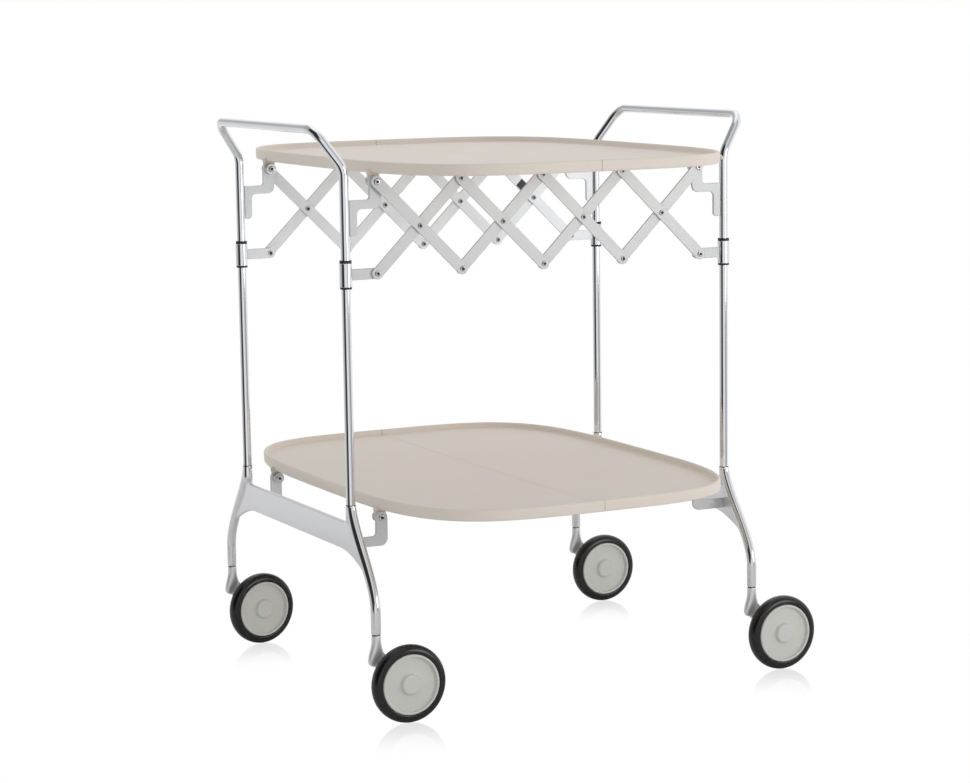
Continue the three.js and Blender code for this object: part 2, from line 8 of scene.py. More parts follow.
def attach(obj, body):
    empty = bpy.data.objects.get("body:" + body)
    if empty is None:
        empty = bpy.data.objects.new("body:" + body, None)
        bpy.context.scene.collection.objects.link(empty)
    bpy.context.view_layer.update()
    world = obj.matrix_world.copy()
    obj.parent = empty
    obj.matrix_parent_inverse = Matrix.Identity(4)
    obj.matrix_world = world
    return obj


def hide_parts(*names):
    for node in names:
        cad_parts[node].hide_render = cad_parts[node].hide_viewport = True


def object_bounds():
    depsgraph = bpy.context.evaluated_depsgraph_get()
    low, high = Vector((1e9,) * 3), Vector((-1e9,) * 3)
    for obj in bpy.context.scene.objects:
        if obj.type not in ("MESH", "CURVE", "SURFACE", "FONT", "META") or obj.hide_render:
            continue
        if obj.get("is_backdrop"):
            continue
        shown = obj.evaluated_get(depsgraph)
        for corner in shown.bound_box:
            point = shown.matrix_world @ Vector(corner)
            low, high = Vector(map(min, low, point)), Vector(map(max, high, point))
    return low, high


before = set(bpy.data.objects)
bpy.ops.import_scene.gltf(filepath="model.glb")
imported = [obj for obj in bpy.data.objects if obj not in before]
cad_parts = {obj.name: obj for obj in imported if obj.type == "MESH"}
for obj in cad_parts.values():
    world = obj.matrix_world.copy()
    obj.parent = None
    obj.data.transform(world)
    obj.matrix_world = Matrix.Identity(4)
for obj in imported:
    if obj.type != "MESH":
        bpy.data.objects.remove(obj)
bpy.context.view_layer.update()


# ---------------------------------------------------------------- camera, floor and light
# A long lens looks down a little at the cart from the front left. The room is white all round,
# with soft grey bands that the bright tubes pick up, and the floor mirrors the wheels faintly.
SHIFT = -0.02035  # where the middle of the four posts stands on X, as the wheels trail to one side

scene = bpy.context.scene
scene.view_settings.view_transform = "Standard"
look = Vector((0.44509, 0.88436, -0.14073)).normalized()
right = Vector((0.89222, -0.45137, -0.01458)).normalized()
up = right.cross(look).normalized()
camera_data = bpy.data.cameras.new("camera")
camera_data.lens = 99.44
camera_data.sensor_width = 36.0
camera = bpy.data.objects.new("camera", camera_data)
aim = Matrix((right, up, -look)).transposed().to_4x4()
camera.matrix_world = Matrix.Translation((-1.5244 + SHIFT, -3.0358, 0.8285)) @ aim
scene.collection.objects.link(camera)
scene.camera = camera


def nodes_of(tree, emptied=True):
    """Empties a node tree, unless told not to, and returns a function that adds a node to it.

    The added node takes its settings from a dictionary. Its inputs are named, or i0, i1 and so on by number.
    """
    if emptied:
        tree.nodes.clear()

    def add(kind, settings=None, **values):
        node = tree.nodes.new(kind)
        for key, value in (settings or {}).items():
            setattr(node, key, value)
        for key, value in values.items():
            numbered = key[0] == "i" and key[1:].isdigit()
            socket = node.inputs[int(key[1:]) if numbered else key.replace("_", " ")]
            if isinstance(value, bpy.types.NodeSocket):
                tree.links.new(value, socket)
            else:
                socket.default_value = value
        return node

    return add


SMOOTH = {"interpolation_type": "SMOOTHSTEP"}
COLOURS = {"data_type": "RGBA"}
WHITE = (1, 1, 1, 1)

world = bpy.data.worlds.new("studio")
scene.world = world
world.use_nodes = True
add = nodes_of(world.node_tree)
direction = add("ShaderNodeTexCoord").outputs["Generated"]
split = add("ShaderNodeSeparateXYZ", Vector=direction).outputs
azimuth = add("ShaderNodeMath", {"operation": "ARCTAN2"}, i0=split["X"], i1=split["Y"])
turns = add("ShaderNodeMath", {"operation": "MULTIPLY_ADD"}, i0=azimuth.outputs[0], i1=0.5 / math.pi, i2=0.5)
# what bright metal mirrors at eye level and higher up: (share of a turn round the room, brightness)
eye_level = [
    (0.0, 0.70), (0.04, 0.88), (0.085, 0.95), (0.115, 0.80), (0.140, 0.35), (0.152, 0.03), (0.245, 0.025),
    (0.262, 0.30), (0.32, 0.56), (0.40, 0.72), (0.46, 0.78), (0.55, 1.0), (0.80, 1.0), (0.865, 0.55),
    (0.905, 0.30), (0.935, 0.34), (0.965, 0.62), (1.0, 0.70),
]
higher_up = [
    (0.0, 0.75), (0.07, 0.80), (0.105, 0.03), (0.300, 0.03), (0.335, 0.40), (0.40, 0.42), (0.47, 0.52),
    (0.53, 1.0), (0.66, 1.0), (0.85, 0.90), (0.90, 0.40), (0.95, 0.60), (1.0, 0.75),
]
rings = []
for stops in (eye_level, higher_up):
    band = add("ShaderNodeValToRGB", Fac=turns.outputs[0])
    ramp = band.color_ramp
    while len(ramp.elements) < len(stops):
        ramp.elements.new(0.5)
    for element, (place, value) in zip(ramp.elements, stops):
        element.position = place
        element.color = (value, value, value * 1.01, 1)
    rings.append(band.outputs[0])
rise = add("ShaderNodeMapRange", SMOOTH, Value=split["Z"], From_Min=-0.05, From_Max=0.22)
bands = add("ShaderNodeMix", COLOURS, Factor=rise.outputs[0], i6=rings[0], i7=rings[1])
overhead = add("ShaderNodeMapRange", SMOOTH, Value=split["Z"], From_Min=0.80, From_Max=0.97)
room = add("ShaderNodeMix", COLOURS,
           Factor=overhead.outputs[0], i6=bands.outputs[2], i7=(0.92, 0.92, 0.93, 1))
# what lights the cart: white all round, a little stronger from the far right, weaker from the ceiling
behind = add("ShaderNodeVectorMath", {"operation": "DOT_PRODUCT"}, i0=direction, i1=(0.62, 0.70, 0.0))
wall = add("ShaderNodeMath", {"operation": "MULTIPLY_ADD"}, i0=behind.outputs["Value"], i1=0.30, i2=1.0)
ceiling = add("ShaderNodeMath", {"operation": "MULTIPLY_ADD"}, i0=split["Z"], i1=-0.45, i2=1.0)
glow = add("ShaderNodeMath", {"operation": "MULTIPLY"}, i0=wall.outputs[0], i1=ceiling.outputs[0])
path = add("ShaderNodeLightPath").outputs
mirrored = add("ShaderNodeBackground", Color=room.outputs[2], Strength=1.0).outputs[0]
lighting = add("ShaderNodeBackground", Color=WHITE, Strength=glow.outputs[0]).outputs[0]
backdrop = add("ShaderNodeBackground", Color=WHITE, Strength=1.0).outputs[0]
room_light = add("ShaderNodeMixShader", i0=path["Is Glossy Ray"], i1=lighting, i2=mirrored)
seen = add("ShaderNodeMixShader", i0=path["Is Camera Ray"], i1=room_light.outputs[0], i2=backdrop)
add("ShaderNodeOutputWorld", Surface=seen.outputs[0])

FLOOR_HALF = 9
# where the four wheels stand
CONTACTS = [(-0.2490, -0.2502), (0.2710, -0.2502), (-0.2463, 0.2143), (0.2710, 0.2094)]
floor_mesh = bpy.data.meshes.new("floor")
floor_corners = [(x * FLOOR_HALF, y * FLOOR_HALF, 0) for x, y in ((-1, -1), (1, -1), (1, 1), (-1, 1))]
floor_mesh.from_pydata(floor_corners, [], [(0, 1, 2, 3)])
floor = bpy.data.objects.new("floor", floor_mesh)
floor.location.z = -0.0006
scene.collection.objects.link(floor)
floor_material = bpy.data.materials.new("white_floor")
floor_material.use_nodes = True
add = nodes_of(floor_material.node_tree)
paper = add("ShaderNodeEmission", Color=WHITE, Strength=1.0).outputs[0]
sheen = add("ShaderNodeBsdfGlossy", Color=WHITE, Roughness=0.06).outputs[0]
bounce = add("ShaderNodeBsdfDiffuse", Color=(0.86, 0.86, 0.86, 1)).outputs[0]
gone = add("ShaderNodeBsdfTransparent").outputs[0]
path = add("ShaderNodeLightPath").outputs
spot = add("ShaderNodeNewGeometry").outputs["Position"]
# beyond about a metre the floor lets mirrored rays through, so that the tubes pick up the room's bands
far = add("ShaderNodeVectorMath", {"operation": "LENGTH"}, i0=spot)
beyond = add("ShaderNodeMapRange", SMOOTH, Value=far.outputs["Value"], From_Min=0.75, From_Max=1.3)
open_room = add("ShaderNodeMath", {"operation": "MULTIPLY"}, i0=beyond.outputs[0], i1=path["Is Glossy Ray"])
near = add("ShaderNodeMixShader", i0=open_room.outputs[0], i1=bounce, i2=gone)
# the polish shows only round the wheels: it fades with the distance to the nearest one
nearest = None
for x, y in CONTACTS:
    apart = add("ShaderNodeVectorMath", {"operation": "DISTANCE"}, i0=spot, i1=(x, y, 0.0)).outputs["Value"]
    if nearest is None:
        nearest = apart
    else:
        nearest = add("ShaderNodeMath", {"operation": "MINIMUM"}, i0=nearest, i1=apart).outputs[0]
gloss = add("ShaderNodeMapRange", SMOOTH, Value=nearest, From_Min=0.0, From_Max=0.15, To_Min=0.24, To_Max=0.0)
polished = add("ShaderNodeMixShader", i0=gloss.outputs[0], i1=paper, i2=sheen)
shown = add("ShaderNodeMixShader", i0=path["Is Camera Ray"], i1=near.outputs[0], i2=polished.outputs[0])
add("ShaderNodeOutputMaterial", Surface=shown.outputs[0])
floor_mesh.materials.append(floor_material)
floor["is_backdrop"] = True

for name, place, size, power in (
    ("key", (1.5, -2.7, 0.75), 1.2, 15.0),
    ("top", (0.2, 0.6, 2.8), 2.0, 2.5),
):
    lamp = bpy.data.lights.new(name, "AREA")
    lamp.shape = "SQUARE"
    lamp.size = size
    lamp.energy = power
    holder = bpy.data.objects.new(name, lamp)
    holder.location = place
    holder.rotation_euler = (Vector((0, 0, 0.4)) - Vector(place)).to_track_quat("-Z", "Y").to_euler()
    scene.collection.objects.link(holder)
    holder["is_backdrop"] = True


# ---------------------------------------------------------------- grab handles and posts
# Each handle is one length of bright chromed steel tube, bent up out of two upright posts, leaning
# outboard to a straight bar across the end of the cart.
def finish_group():
    """A surface finish: slow drifts of the colour and of the roughness, and a fine grain in the normal."""
    group = bpy.data.node_groups.new("surface_finish", "ShaderNodeTree")
    face = group.interface
    for name, kind, value in (
        ("Base Color", "NodeSocketColor", (0.8, 0.8, 0.8, 1)),
        ("Colour Drift", "NodeSocketFloat", 0.02),
        ("Drift Scale", "NodeSocketFloat", 12.0),
        ("Roughness", "NodeSocketFloat", 0.3),
        ("Roughness Drift", "NodeSocketFloat", 0.03),
        ("Grain Scale", "NodeSocketFloat", 900.0),
        ("Grain Stretch", "NodeSocketVector", (1, 1, 1)),
        ("Grain Strength", "NodeSocketFloat", 0.05),
        ("Grain Depth", "NodeSocketFloat", 0.0002),
    ):
        face.new_socket(name, in_out="INPUT", socket_type=kind).default_value = value
    for name, kind in (
        ("Base Color", "NodeSocketColor"),
        ("Roughness", "NodeSocketFloat"),
        ("Normal", "NodeSocketVector"),
    ):
        face.new_socket(name, in_out="OUTPUT", socket_type=kind)
    add = nodes_of(group)
    given = add("NodeGroupInput").outputs
    place = add("ShaderNodeTexCoord").outputs["Object"]
    drift = add("ShaderNodeTexNoise", Vector=place, Scale=given["Drift Scale"], Detail=4.0, Roughness=0.6)
    centred = add("ShaderNodeMath", {"operation": "SUBTRACT"}, i0=drift.outputs["Fac"], i1=0.5)
    value = add("ShaderNodeMath", {"operation": "MULTIPLY_ADD"},
                i0=centred.outputs[0], i1=given["Colour Drift"], i2=1.0)
    tinted = add("ShaderNodeVectorMath", {"operation": "SCALE"},
                 i0=given["Base Color"], Scale=value.outputs[0])
    smear = add("ShaderNodeTexNoise", Vector=place, Scale=46.0, Detail=5.0, Roughness=0.65, Distortion=0.4)
    rubbed = add("ShaderNodeMath", {"operation": "SUBTRACT"}, i0=smear.outputs["Fac"], i1=0.5)
    rough = add("ShaderNodeMath", {"operation": "MULTIPLY_ADD", "use_clamp": True},
                i0=rubbed.outputs[0], i1=given["Roughness Drift"], i2=given["Roughness"])
    stretched = add("ShaderNodeVectorMath", {"operation": "MULTIPLY"}, i0=place, i1=given["Grain Stretch"])
    grain = add("ShaderNodeTexNoise",
                Vector=stretched.outputs[0], Scale=given["Grain Scale"], Detail=3.0, Roughness=0.55)
    bump = add("ShaderNodeBump",
               Strength=given["Grain Strength"], Distance=given["Grain Depth"], Height=grain.outputs["Fac"])
    add("NodeGroupOutput", Base_Color=tinted.outputs[0], Roughness=rough.outputs[0], Normal=bump.outputs[0])
    return group


finish = finish_group()


def material(name, colour, rough, metal=0.0, coat=0.0, **settings):
    """A Principled material whose colour, roughness and normal come through the shared finish."""
    made = bpy.data.materials.new(name)
    made.use_nodes = True
    add = nodes_of(made.node_tree)
    surface = add("ShaderNodeGroup", {"node_tree": finish},
                  Base_Color=(*colour, 1), Roughness=rough, **settings)
    shader = add("ShaderNodeBsdfPrincipled",
                 Base_Color=surface.outputs["Base Color"], Roughness=surface.outputs["Roughness"],
                 Normal=surface.outputs["Normal"], Metallic=metal, Coat_Weight=coat, Coat_Roughness=0.08)
    add("ShaderNodeOutputMaterial", Surface=shader.outputs[0])
    return made


def grid(points, wrap_u=False, wrap_v=False, caps=False):
    """A sheet of quads over points [u, v], joined round where it wraps, with flat caps on the u ends."""
    nu, nv = points.shape[:2]
    index = np.arange(nu * nv).reshape(nu, nv)
    if wrap_u:
        index = np.vstack([index, index[:1]])
    if wrap_v:
        index = np.hstack([index, index[:, :1]])
    quads = np.stack([index[:-1, :-1], index[1:, :-1], index[1:, 1:], index[:-1, 1:]], -1).reshape(-1, 4)
    ends = [tuple(range(nv))[::-1], tuple(range((nu - 1) * nv, nu * nv))] if caps else []
    return points.reshape(-1, 3), [tuple(q) for q in quads.tolist()], ends


def swept(path, radius, sides=32):
    """A round bar along a path: at each station a circle in the plane across it, carried on without twist."""
    path = np.asarray(path, float)
    along = np.gradient(path, axis=0)
    along /= np.linalg.norm(along, axis=1)[:, None]
    radius = np.broadcast_to(radius, len(path))
    side = np.cross(along[0], (0.31, 0.17, 0.93) if abs(along[0][2]) < 0.9 else (1.0, 0.0, 0.0))
    angle = np.linspace(0, 2 * np.pi, sides, endpoint=False)
    rings = []
    for p, t, r in zip(path, along, radius):
        side = side - t * side.dot(t)
        side /= np.linalg.norm(side)
        rings.append(p + r * (np.cos(angle)[:, None] * side + np.sin(angle)[:, None] * np.cross(t, side)))
    return grid(np.array(rings), wrap_v=True, caps=True)


def rounded_path(corners, radii, steps=18, run=10):
    """A polyline with each inner corner replaced by an arc tangent to both runs, the runs split evenly."""
    corners = [np.asarray(c, float) for c in corners]
    share = np.linspace(0, 1, run + 1)[1:]
    out = [corners[0]]
    for a, b, c, r in zip(corners, corners[1:], corners[2:], radii):
        u = (a - b) / np.linalg.norm(a - b)
        v = (c - b) / np.linalg.norm(c - b)
        half = math.acos(float(u.dot(v))) / 2
        centre = b + (u + v) / np.linalg.norm(u + v) * r / math.sin(half)
        start = b + u * r / math.tan(half) - centre
        end = b + v * r / math.tan(half) - centre
        total = math.pi - 2 * half
        bend = [centre + (math.sin(total * (1 - k)) * start + math.sin(total * k) * end) / math.sin(total)
                for k in np.linspace(0, 1, steps)]
        out += [out[-1] + (bend[0] - out[-1]) * k for k in share[:-1]] + bend
    out += [out[-1] + (corners[-1] - out[-1]) * k for k in share]
    return out


def build(name, shells, mat, body, slot, *cad, sharp=40):
    """One object from several closed shells, each turned outward, smooth but for edges over the sharp angle.

    A shell's volume is the sum over its triangles of a . (b x c) / 6, negative when it is inside out.
    """
    verts, faces, flat = [], [], []
    for points, sides, caps in shells:
        points = np.asarray(points, float)
        thirds = [(f[0], f[k], f[k + 1]) for f in sides + caps for k in range(1, len(f) - 1)]
        a, b, c = points[np.array(thirds)].transpose(1, 0, 2)
        step = 1 if np.sum(a * np.cross(b, c)) > 0 else -1
        base = sum(len(v) for v in verts)
        faces += [tuple(base + i for i in f[::step]) for f in sides + caps]
        flat += [False] * len(sides) + [True] * len(caps)
        verts.append(points)
    mesh = bpy.data.meshes.new(name)
    mesh.from_pydata(np.vstack(verts).tolist(), [], faces)
    mesh.set_sharp_from_angle(angle=math.radians(sharp))
    mesh.polygons.foreach_set("use_smooth", np.logical_not(flat))
    mesh.materials.append(mat)
    mesh.update()
    made = bpy.data.objects.new(name, mesh)
    scene.collection.objects.link(made)
    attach(made, body)
    if cad:
        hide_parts(*cad)
    return made


def turned(shell, end):
    """The same shell at its end of the cart: as drawn on the left, turned half round on the right."""
    points, sides, caps = shell
    turn = np.array((1, 1, 1) if end == "left" else (-1, -1, 1), float)
    return np.asarray(points) * turn + (SHIFT, 0, 0), sides, caps


POST_X = 0.260
POST_Y = 0.1645
POST_FOOT = 0.2355
TUBE_R = 0.0055
BAR_Z = 0.700 - TUBE_R
BEND_DROP = 0.0465
LEAN = 0.032
BAR_IN = 0.0115
BENDS = (0.030, 0.022, 0.022, 0.030)
chrome = material("chrome_tube", (0.80, 0.81, 0.83), 0.07, metal=1.0, Colour_Drift=0.03, Roughness_Drift=0.05,
                  Grain_Scale=160.0, Grain_Stretch=(1, 1, 0.25), Grain_Strength=0.05, Grain_Depth=0.0003)
for end in ("left", "right"):
    corners = [(0, -POST_Y, POST_FOOT), (0, -POST_Y, BAR_Z - BEND_DROP), (-LEAN, -POST_Y + BAR_IN, BAR_Z)]
    corners += [(x, -y, z) for x, y, z in corners[::-1]]
    line = np.array(rounded_path(corners, BENDS)) - (POST_X, 0, 0)
    build("handle_tube_" + end, [turned(swept(line, TUBE_R), end)], chrome,
          "frame_" + end, "chrome", "handle_" + end)


# ---------------------------------------------------------------- end castings
# One polished aluminium casting stands under each handle: two round legs that swing out in an S to
# the casters, joined by a thin upright web, with a socket at the top of each leg for the post.
def plate(outline, low, high, edge=0.0005, steps=4):
    """A flat plate across Y from an outline in X and Z, its rim rounded by quarter arcs of the edge radius.

    At each depth the outline steps in along its own normals by edge (1 - sin a), while the depth from the
    face is edge (1 - cos a), for a from 0 to 90 degrees.
    """
    line = np.asarray(outline, float)
    ahead, behind = np.roll(line, -1, 0) - line, line - np.roll(line, 1, 0)
    ahead /= np.linalg.norm(ahead, axis=1)[:, None] + 1e-12
    behind /= np.linalg.norm(behind, axis=1)[:, None] + 1e-12
    mid = ahead + behind
    mid /= np.linalg.norm(mid, axis=1)[:, None] + 1e-12
    area = np.sum(line[:, 0] * np.roll(line[:, 1], -1) - line[:, 1] * np.roll(line[:, 0], -1))
    inward = np.stack([-mid[:, 1], mid[:, 0]], 1) * np.sign(area)
    turn = np.linspace(0, np.pi / 2, steps + 1)
    inset = np.concatenate([edge * (1 - np.sin(turn)), edge * (1 - np.sin(turn[::-1]))])
    depth = np.concatenate([low + edge * (1 - np.cos(turn)), high - edge * (1 - np.cos(turn[::-1]))])
    rings = []
    for i, y in zip(inset, depth):
        x, z = (line + inward * i).T
        rings.append(np.stack([x, np.full(len(line), y), z], 1))
    return grid(np.array(rings), wrap_v=True, caps=True)


def arc(x, z, radius, start, stop, steps=14):
    """Points on a circular arc, angles in degrees."""
    angle = np.radians(np.linspace(start, stop, steps))
    return [(x + radius * math.cos(a), z + radius * math.sin(a)) for a in angle]


def mm(*pairs):
    """Pairs given in millimetres, in metres."""
    return [(a / 1000, b / 1000) for a, b in pairs]


def lathe(profile, centre=(0, 0, 0), axis="Z", segments=64):
    """A profile of (radius, height) pairs, from axis to axis or closed on itself, turned about an axis."""
    profile = np.asarray(profile, float)
    angle = np.linspace(0, 2 * np.pi, segments, endpoint=False)
    r, h = profile[:, 0][:, None], profile[:, 1][:, None] + 0 * angle
    a, b = r * np.cos(angle), r * np.sin(angle)
    points = np.stack({"Z": (a, b, h), "Y": (a, h, -b)}[axis], -1) + centre
    solid = profile[0][0] < 1e-9 and profile[-1][0] < 1e-9
    if not solid:
        return grid(points, wrap_u=True, wrap_v=True)
    flat, sides, _ = grid(points[1:-1], wrap_v=True)
    tips = [(0, 0, tip) if axis == "Z" else (0, tip, 0) for tip in (profile[0][1], profile[-1][1])]
    first = np.arange(segments)
    last = first + (len(profile) - 3) * segments
    top = len(flat)
    sides += [(top, int(j), int(i)) for i, j in zip(first, np.roll(first, -1))]
    sides += [(top + 1, int(i), int(j)) for i, j in zip(last, np.roll(last, -1))]
    return np.vstack([flat, np.array(tips) + centre]), sides, []


LEG_TOP = 0.256
LEG_FOOT = 0.132
LEG_OUT = 0.0653
LEG_R = 0.0058
LEG_SWELL = 0.0006  # the legs are this much thicker where the web runs into them
SWELL_Z = 0.205
WEB_HALF = 0.0026
WEB_EDGE = 0.0016
WEB_LOW = 0.193
WEB_JOIN_LOW = 0.166
WEB_JOIN_TOP = 0.2400


def leg_y(z):
    """Distance of a leg's axis from the middle: a smooth step, 3t^2 - 2t^3, from the post to the caster."""
    t = np.clip((LEG_TOP - z) / (LEG_TOP - LEG_FOOT), 0, 1)
    return POST_Y + LEG_OUT * t * t * (3 - 2 * t)


def bow(a, b, c, k):
    """A quadratic curve from a to c, pulled towards b: (1-k)^2 a + 2k(1-k) b + k^2 c."""
    return (1 - k) ** 2 * a + 2 * k * (1 - k) * b + k * k * c


cast = material("polished_casting", (0.80, 0.805, 0.82), 0.09, metal=1.0, Colour_Drift=0.05,
                Roughness_Drift=0.10, Grain_Scale=240.0, Grain_Strength=0.10, Grain_Depth=0.0003)
web_metal = material("satin_casting", (0.82, 0.825, 0.84), 0.30, metal=1.0, Colour_Drift=0.03,
                     Roughness_Drift=0.08, Grain_Scale=900.0, Grain_Strength=0.06, Grain_Depth=0.0002)
socket = mm((5.75, 239.5), (5.75, 248.4), (5.9, 248.7), (6.1, 248.6), (6.2, 248.2),
            (6.3, 244.0), (6.4, 236.0), (6.1, 229.0), (4.0, 225.0), (4.0, 239.5))
for end in ("left", "right"):
    shells = []
    z = np.concatenate([np.linspace(0.2462, LEG_FOOT, 46), np.linspace(0.130, 0.1058, 7)])
    thick = LEG_R + LEG_SWELL * np.exp(-(((z - SWELL_Z) / 0.03) ** 2))
    thick[-3:] = (LEG_R, LEG_R, LEG_R - 0.0003)
    for side in (-1, 1):
        line = np.stack([0 * z - POST_X, side * leg_y(z), z], 1)
        shells.append(turned(swept(line, thick, 36), end))
        shells.append(turned(lathe(socket, (-POST_X, side * POST_Y, 0), "Z", 40), end))
    build("casting_legs_" + end, shells, cast, "frame_" + end, "casting", "casting_" + end)

    # the web: at every station along Y an upright rounded bar, flowing into the legs above and below
    k = np.linspace(0, 1, 30)
    low_y = bow(POST_Y - 0.030, POST_Y + 0.006, leg_y(WEB_JOIN_LOW), k)
    low_z = bow(WEB_LOW, WEB_LOW, WEB_JOIN_LOW, k)
    top_y = bow(0.1450, 0.1585, 0.1625, k)
    top_z = bow(0.2268, 0.2272, WEB_JOIN_TOP, k)
    fall = np.linspace(WEB_JOIN_TOP, WEB_JOIN_LOW, 60)
    y = np.concatenate([np.linspace(0, 0.1340, 14, endpoint=False), np.linspace(0.1340, 0.2140, 64)])
    y = np.concatenate([-y[:0:-1], y])
    bottom = np.interp(np.abs(y), low_y, low_z)
    top = np.interp(np.abs(y), np.concatenate([top_y, leg_y(fall)]), np.concatenate([top_z, fall]))
    turn = np.radians(np.linspace(0, 90, 6))
    in_x, in_z = WEB_EDGE * np.cos(turn), WEB_EDGE * np.sin(turn)
    flank = WEB_HALF - WEB_EDGE
    x = np.concatenate([flank + in_x, -flank - in_z, -flank - in_x, flank + in_z])
    rings = []
    for station, a, b in zip(y, bottom, top):
        low, high = a + WEB_EDGE, b - WEB_EDGE
        h = np.concatenate([high + in_z, high + in_x, low - in_z, low - in_x])
        rings.append(np.stack([x - POST_X, 0 * x + station, h], 1))
    build("casting_web_" + end, [turned(grid(np.array(rings), wrap_v=True, caps=True), end)], web_metal,
          "frame_" + end, "casting")


# ---------------------------------------------------------------- brackets, hooks and collars
# Flat steel arms painted a satin light grey carry every pivot: S-shaped brackets welded to the posts
# above, L-shaped hooks on the castings below, and arms on collars that slide up the posts on black bushes.
PIVOT_IN = 0.0392
UP_Z = 0.6318
LOW_Z = 0.2305
DROP = 0.1084
LATTICE_Z = {"top": UP_Z, "low": UP_Z - DROP}
LAYERS = {"inner": (0.0023, 0.0048), "outer": (0.0051, 0.0076)}  # from and to, outboard of the post plane
HALF_THICK = 0.002
END_R = 0.0075
ARM_R = 0.0065
HOLLOW_R = 0.0019
PIN_FOOT = -0.0125  # the inboard end of the pins that carry the tray lugs


def as_drawn(row, end):
    """Whether a corner is one of the two that are as drawn; the other two are their mirror image."""
    return (row == "front") == (end == "left")


def corner(shell, row, end, z=0.0):
    """A shell drawn at a post axis with outboard along -Y, put at one corner of the cart."""
    points, sides, caps = shell
    side = 1 if as_drawn(row, end) else -1
    points = np.asarray(points) * (1, side, 1) + (-POST_X, -side * POST_Y, z)
    return turned((points, sides, caps), end)


def on_face(profile, x, z, face, way, segments):
    """A profile turned about Y at x and z, standing on a face that far outboard; way -1 turns it inboard."""
    points, sides, caps = lathe(profile, (0, 0, 0), "Y", segments)
    return np.asarray(points) * (1, way, 1) + (x, -face, z), sides, caps


def head(x, z, face, radius=0.0036, rise=0.0014, way=1):
    """A tubular rivet head: a low dome with an open hollow, facing outboard, or inboard where way is -1."""
    dome = [(0, 0.0006), (radius - 0.0003, 0.0006), (radius, 0.0), (radius, -0.0004),
            (radius - 0.0003, -0.0008), (radius - 0.0009, -rise + 0.0001), (radius - 0.0012, -rise),
            (HOLLOW_R + 0.0002, -rise), (HOLLOW_R, -rise + 0.0002), (HOLLOW_R, -0.0001), (0, -0.0001)]
    return on_face(dome, x, z, face, way, 40)


def hollow_shade_disc(x, z, face, way=1):
    """A black disc at the bottom of a rivet's hollow: painted shade, standing in for the shade deep in the
    hollow.
    """
    return on_face(mm((0, 0), (1.85, 0), (1.85, -0.6), (0, -0.6)), x, z, face, way, 24)


def shank(x, z, inner, outer, radius=0.0024):
    """A plain pin across the layers, with its inner edge softened."""
    soft = 0.0002
    profile = [(0, -outer), (radius, -outer), (radius, -inner - soft), (radius - soft, -inner), (0, -inner)]
    return lathe(profile, (x, 0, z), "Y", 28)


def layer_of(row, end, kind):
    """Which layer the falling (top) or rising (low) links of a corner lie on."""
    return "outer" if (kind == "top") == as_drawn(row, end) else "inner"


OUTBOARD_GREY = (0.62, 0.625, 0.63)
# painted light: a brighter, cooler grey on the inboard faces stands in for light falling on the back row
INBOARD_PAINTED_LIGHT = (0.83, 0.855, 0.88)
satin = material("satin_grey", OUTBOARD_GREY, 0.38, metal=0.25, coat=0.15, Colour_Drift=0.03,
                 Roughness_Drift=0.08, Grain_Scale=1400.0, Grain_Strength=0.20, Grain_Depth=0.0002)
# painted light: the faces towards the middle of the cart are painted brighter and a little bluer than the
# rest, standing in for the light on the back row under the tray; there the normal points against the place in
# Y
add = nodes_of(satin.node_tree, emptied=False)
spot = add("ShaderNodeTexCoord").outputs
facing = add("ShaderNodeVectorMath", {"operation": "MULTIPLY"}, i0=spot["Object"], i1=spot["Normal"])
across = add("ShaderNodeSeparateXYZ", Vector=facing.outputs[0]).outputs["Y"]
inward = add("ShaderNodeMath", {"operation": "LESS_THAN"}, i0=across, i1=-0.08)
painted_light_mix = add("ShaderNodeMix", COLOURS,
            Factor=inward.outputs[0], i6=(*OUTBOARD_GREY, 1), i7=(*INBOARD_PAINTED_LIGHT, 1))
satin.node_tree.links.new(painted_light_mix.outputs[2], satin.node_tree.nodes["Group"].inputs["Base Color"])
steel = material("rivet_steel", (0.72, 0.72, 0.73), 0.20, metal=1.0, Colour_Drift=0.10, Roughness_Drift=0.15,
                 Grain_Scale=700.0, Grain_Strength=0.15, Grain_Depth=0.0002)
# black for the bushes, seals and washers, and also the painted shade of the discs in the rivet hollows
black = material("black_bush_and_hollow_shade", (0.018, 0.018, 0.020), 0.38, Colour_Drift=0.10, Roughness_Drift=0.10,
                 Grain_Scale=900.0, Grain_Strength=0.15, Grain_Depth=0.0002)

weld = TUBE_R + 0.0001
tail = TUBE_R + 0.0099
s_line = ([(weld, -0.0210), (weld, -0.0600)]
          + arc(weld + 0.003, -0.0600, 0.003, 180, 270, 6)
          + arc(tail - 0.0048, -0.0582, 0.0048, 270, 360, 10)
          + arc(tail + 0.006, -0.0376, 0.006, 180, 90, 12)
          + arc(PIVOT_IN + END_R - 0.009, -0.0226, 0.009, 270, 360, 14)
          + arc(PIVOT_IN, 0, END_R, 0, 180, 28)
          + arc(PIVOT_IN - END_R - 0.004, -0.0170, 0.004, 0, -90, 9))
l_line = ([(0.0027, -0.0220), (0.0027, -0.0340)]
          + arc(PIVOT_IN + END_R - 0.009, -0.0250, 0.009, 270, 360, 14)
          + arc(PIVOT_IN, 0, END_R, 0, 180, 28)
          + arc(PIVOT_IN - END_R - 0.004, -0.0180, 0.004, 0, -90, 9))
arm_line = [(0.0066, -ARM_R)] + arc(PIVOT_IN, 0, ARM_R, -90, 90, 24) + [(0.0066, ARM_R)]
sleeve = mm((6.3, -14.0), (7.4, -14.0), (7.7, -13.7), (7.7, 13.7), (7.4, 14.0), (6.3, 14.0))
liner = mm((5.7, -16.6), (6.8, -16.6), (7.1, -16.3), (7.1, -14.2), (6.1, -14.2),
           (6.1, 14.2), (7.2, 14.2), (7.2, 17.1), (6.9, 17.4), (5.7, 17.4))
seal = mm((5.4, 248.8), (5.8, 248.8), (5.9, 249.0), (5.9, 249.3), (5.8, 249.5), (5.4, 249.5))
